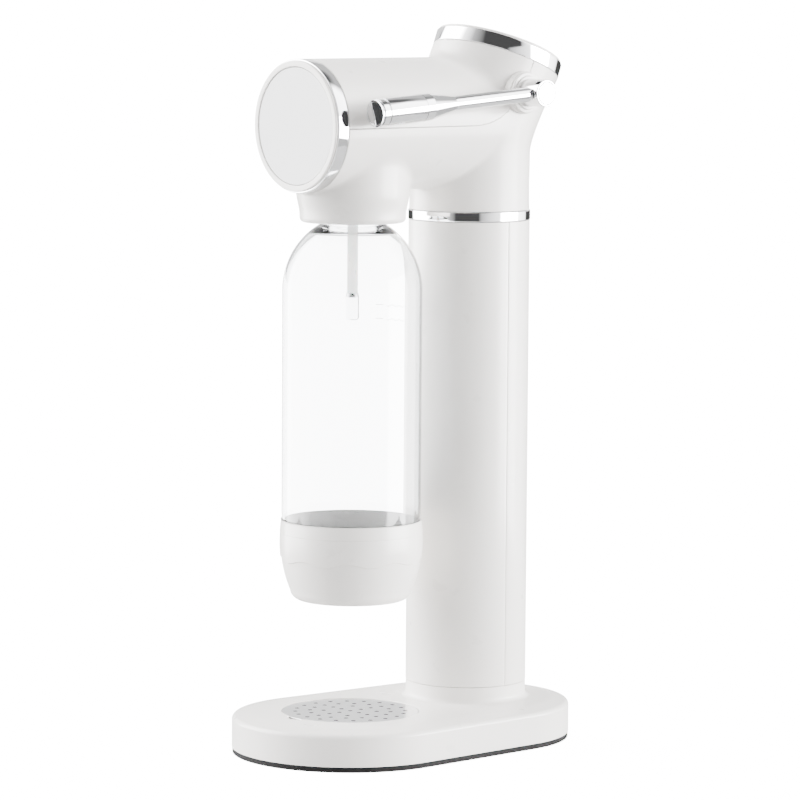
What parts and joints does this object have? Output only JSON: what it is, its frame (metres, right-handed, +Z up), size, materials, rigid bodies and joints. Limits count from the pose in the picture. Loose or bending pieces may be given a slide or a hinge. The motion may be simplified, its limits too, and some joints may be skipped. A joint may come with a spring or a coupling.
{
  "type": "soda carbonator",
  "caption": "Countertop soda carbonator: round column on a long base, barrel head with side lever, gas cylinder inside and clear bottle under the head.",
  "frame": {"origin": "centre of the bottle axis on the underside of the foot pad", "axes": "+Z up, -Y towards the front disc, +X towards the lever side"},
  "size_m": [0.1412, 0.228, 0.44],
  "materials": {
    "white_plastic": "satin gloss moulded, warm white",
    "inner_plastic": "matt moulded",
    "disc_plastic": "fine matt",
    "chrome": "mirror plated",
    "steel": "brushed",
    "brass": "machined",
    "rubber": "matt black",
    "clear_bottle": "clear",
    "hose": "translucent pressure hose",
    "cylinder_paint": "satin paint on aluminium",
    "nylon": "natural nylon"
  },
  "bodies": {
    "housing": {"foot_pad": "rubber", "base_plate": "steel", "base_shell": "white_plastic", "column_shell": "white_plastic", "column_ring": "chrome", "spine_frame": "inner_plastic", "cylinder_seat": "rubber", "co2_cylinder": "cylinder_paint", "cylinder_valve": "brass", "valve_bracket": "steel", "valve_block": "brass", "block_seal": "rubber", "plunger_spring": "steel", "socket_insert": "inner_plastic", "mouth_seal": "rubber", "manifold": "inner_plastic", "relief_valve": "brass", "carbonating_tube": "nylon", "tube_tip": "chrome", "hose_fitting_rear": "brass", "hose_fitting_front": "brass", "gas_hose": "hose", "head_upper_shell": "white_plastic", "head_lower_shell": "white_plastic", "front_band": "chrome", "front_bezel": "white_plastic", "front_disc": "disc_plastic", "top_band": "chrome", "top_bezel": "white_plastic", "top_disc": "disc_plastic", "lever_boss": "white_plastic", "shaft_bush_right": "nylon", "shaft_bush_left": "nylon", "return_spring": "steel", "base_screw_1": "steel", "base_screw_2": "steel", "base_screw_3": "steel", "base_screw_4": "steel", "valve_screw_1": "steel", "manifold_screw_1": "steel", "valve_screw_2": "steel", "manifold_screw_2": "steel"},
    "lever": {"lever_shaft": "steel", "shaft_clip": "steel", "lever_hub": "chrome", "hub_cap": "chrome", "lever_arm": "chrome", "lever_grip": "chrome", "grip_end_cap": "chrome", "cam_finger": "steel"},
    "plunger": {"plunger": "steel"},
    "valve_pin": {"valve_pin": "steel"},
    "rear_cover": {"rear_cover": "white_plastic"},
    "bottle": {"bottle": "clear_bottle", "bottle_cup": "white_plastic"},
    "drip_tray": {"drip_tray": "inner_plastic"},
    "drip_grille": {"drip_grille": "steel"}
  },
  "joints": [
    {"name": "lever_pivot", "type": "hinge", "parent": "housing", "child": "lever", "pos_m": [0, 0.1017, 0.399], "axis": [1, 0, 0], "range_deg": [0, 25], "stiffness_Nm_per_rad": 1, "springref_deg": -28.65},
    {"name": "plunger_slide", "type": "slide", "parent": "housing", "child": "plunger", "axis": [0, 0, -1], "range_m": [0, 0.0037], "deforming": ["plunger_spring"]},
    {"name": "valve_pin_slide", "type": "slide", "parent": "housing", "child": "valve_pin", "axis": [0, 0, -1], "range_m": [0, 0.0037]},
    {"name": "rear_cover_slide", "type": "slide", "parent": "housing", "child": "rear_cover", "axis": [0, 1, 0], "range_m": [0, 0.08]},
    {"name": "bottle_slide", "type": "slide", "parent": "housing", "child": "bottle", "axis": [0, 0, -1], "range_m": [0, 0.04]},
    {"name": "drip_tray_slide", "type": "slide", "parent": "housing", "child": "drip_tray", "axis": [0, 0, 1], "range_m": [0, 0.018]},
    {"name": "drip_grille_slide", "type": "slide", "parent": "drip_tray", "child": "drip_grille", "axis": [0, 0, 1], "range_m": [0, 0.005]}
  ],
  "couplings": [
    {"joint": "plunger_slide", "follows": "lever_pivot", "m_per_rad": 0.0084},
    {"joint": "valve_pin_slide", "follows": "lever_pivot", "m_per_rad": 0.0084}
  ]
}
